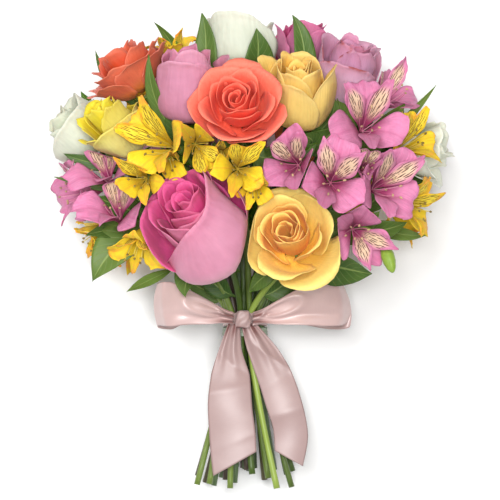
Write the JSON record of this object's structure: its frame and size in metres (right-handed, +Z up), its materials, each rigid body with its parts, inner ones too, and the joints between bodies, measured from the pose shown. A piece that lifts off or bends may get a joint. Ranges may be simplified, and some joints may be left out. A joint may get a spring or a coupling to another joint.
{
  "type": "mixed flower bouquet",
  "caption": "Hand-tied bouquet of roses and alstroemerias with leafy stems, bound below the heads and tied with a satin bow; it lies on its back on a table",
  "frame": {"origin": "middle of the bouquet's outline on the surface that it lies on", "axes": "+Z up, +Y from the cut stems towards the flowers, +X to the right seen from above with the flowers away from the viewer"},
  "size_m": [0.328, 0.371, 0.1972],
  "materials": {
    "coral_rose": "matte",
    "pink_rose": "matte",
    "yellow_rose": "matte",
    "peach_rose": "matte",
    "mauve_rose": "matte",
    "lilac_rose": "matte",
    "white_rose": "matte",
    "pink_alstroemeria": "matte",
    "yellow_alstroemeria": "matte",
    "rose_stem": "satin",
    "alstroemeria_stem": "satin",
    "satin_ribbon": "satin",
    "binding_tape": "matte"
  },
  "bodies": {
    "root": {"binding": "binding_tape", "flowers_pink_back": "pink_alstroemeria", "flowers_pink_left": "pink_alstroemeria", "flowers_pink_right": "pink_alstroemeria", "flowers_pink_upper": "pink_alstroemeria", "flowers_yellow_back": "yellow_alstroemeria", "flowers_yellow_centre": "yellow_alstroemeria", "flowers_yellow_left": "yellow_alstroemeria", "flowers_yellow_right": "yellow_alstroemeria", "flowers_yellow_top": "yellow_alstroemeria", "ribbon_knot": "satin_ribbon", "ribbon_loop_left": "satin_ribbon", "ribbon_loop_right": "satin_ribbon", "ribbon_tail_left": "satin_ribbon", "ribbon_tail_right": "satin_ribbon", "ribbon_wrap": "satin_ribbon", "rose_coral_back": "coral_rose", "rose_coral_front": "coral_rose", "rose_coral_left": "coral_rose", "rose_lilac_right": "lilac_rose", "rose_mauve_back": "mauve_rose", "rose_mauve_top": "mauve_rose", "rose_peach_top": "peach_rose", "rose_pink_front": "pink_rose", "rose_pink_top": "pink_rose", "rose_white_left": "white_rose", "rose_white_right": "white_rose", "rose_white_top": "white_rose", "rose_yellow_back": "yellow_rose", "rose_yellow_front": "yellow_rose", "rose_yellow_left": "yellow_rose", "stem_rose_coral_back": "rose_stem", "stem_rose_coral_front": "rose_stem", "stem_rose_coral_left": "rose_stem", "stem_rose_lilac_right": "rose_stem", "stem_rose_mauve_back": "rose_stem", "stem_rose_mauve_top": "rose_stem", "stem_rose_peach_top": "rose_stem", "stem_rose_pink_front": "rose_stem", "stem_rose_pink_top": "rose_stem", "stem_rose_white_left": "rose_stem", "stem_rose_white_right": "rose_stem", "stem_rose_white_top": "rose_stem", "stem_rose_yellow_back": "rose_stem", "stem_rose_yellow_front": "rose_stem", "stem_rose_yellow_left": "rose_stem", "stem_spray_pink_back": "alstroemeria_stem", "stem_spray_pink_left": "alstroemeria_stem", "stem_spray_pink_right": "alstroemeria_stem", "stem_spray_pink_upper": "alstroemeria_stem", "stem_spray_yellow_back": "alstroemeria_stem", "stem_spray_yellow_centre": "alstroemeria_stem", "stem_spray_yellow_left": "alstroemeria_stem", "stem_spray_yellow_right": "alstroemeria_stem", "stem_spray_yellow_top": "alstroemeria_stem"}
  },
  "joints": []
}
